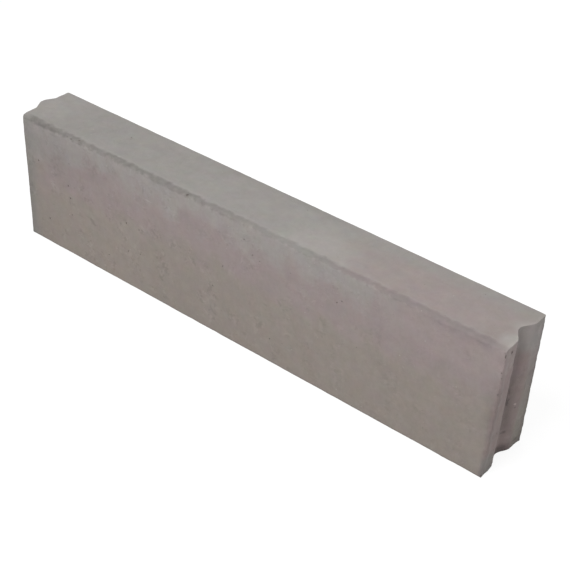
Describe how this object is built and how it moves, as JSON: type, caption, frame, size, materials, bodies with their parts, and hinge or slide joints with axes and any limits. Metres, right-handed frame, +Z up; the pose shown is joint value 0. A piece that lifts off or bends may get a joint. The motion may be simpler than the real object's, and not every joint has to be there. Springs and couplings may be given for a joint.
{
  "type": "concrete kerb stone",
  "caption": "Straight cast concrete kerb stone standing on its long bed, with a rounded nosing on the road side and a tongue-and-groove joint on its ends.",
  "frame": {"origin": "on the floor, at the middle of the bed of the whole stone, tongue included", "axes": "+X along the kerb towards the grooved end, +Y from the road face to the back face, +Z up from the bed"},
  "size_m": [1.012, 0.115, 0.25],
  "materials": {
    "concrete": "matte, pressed sand-cement face, warm grey"
  },
  "bodies": {
    "root": {"kerb_stone": "concrete"}
  },
  "joints": []
}
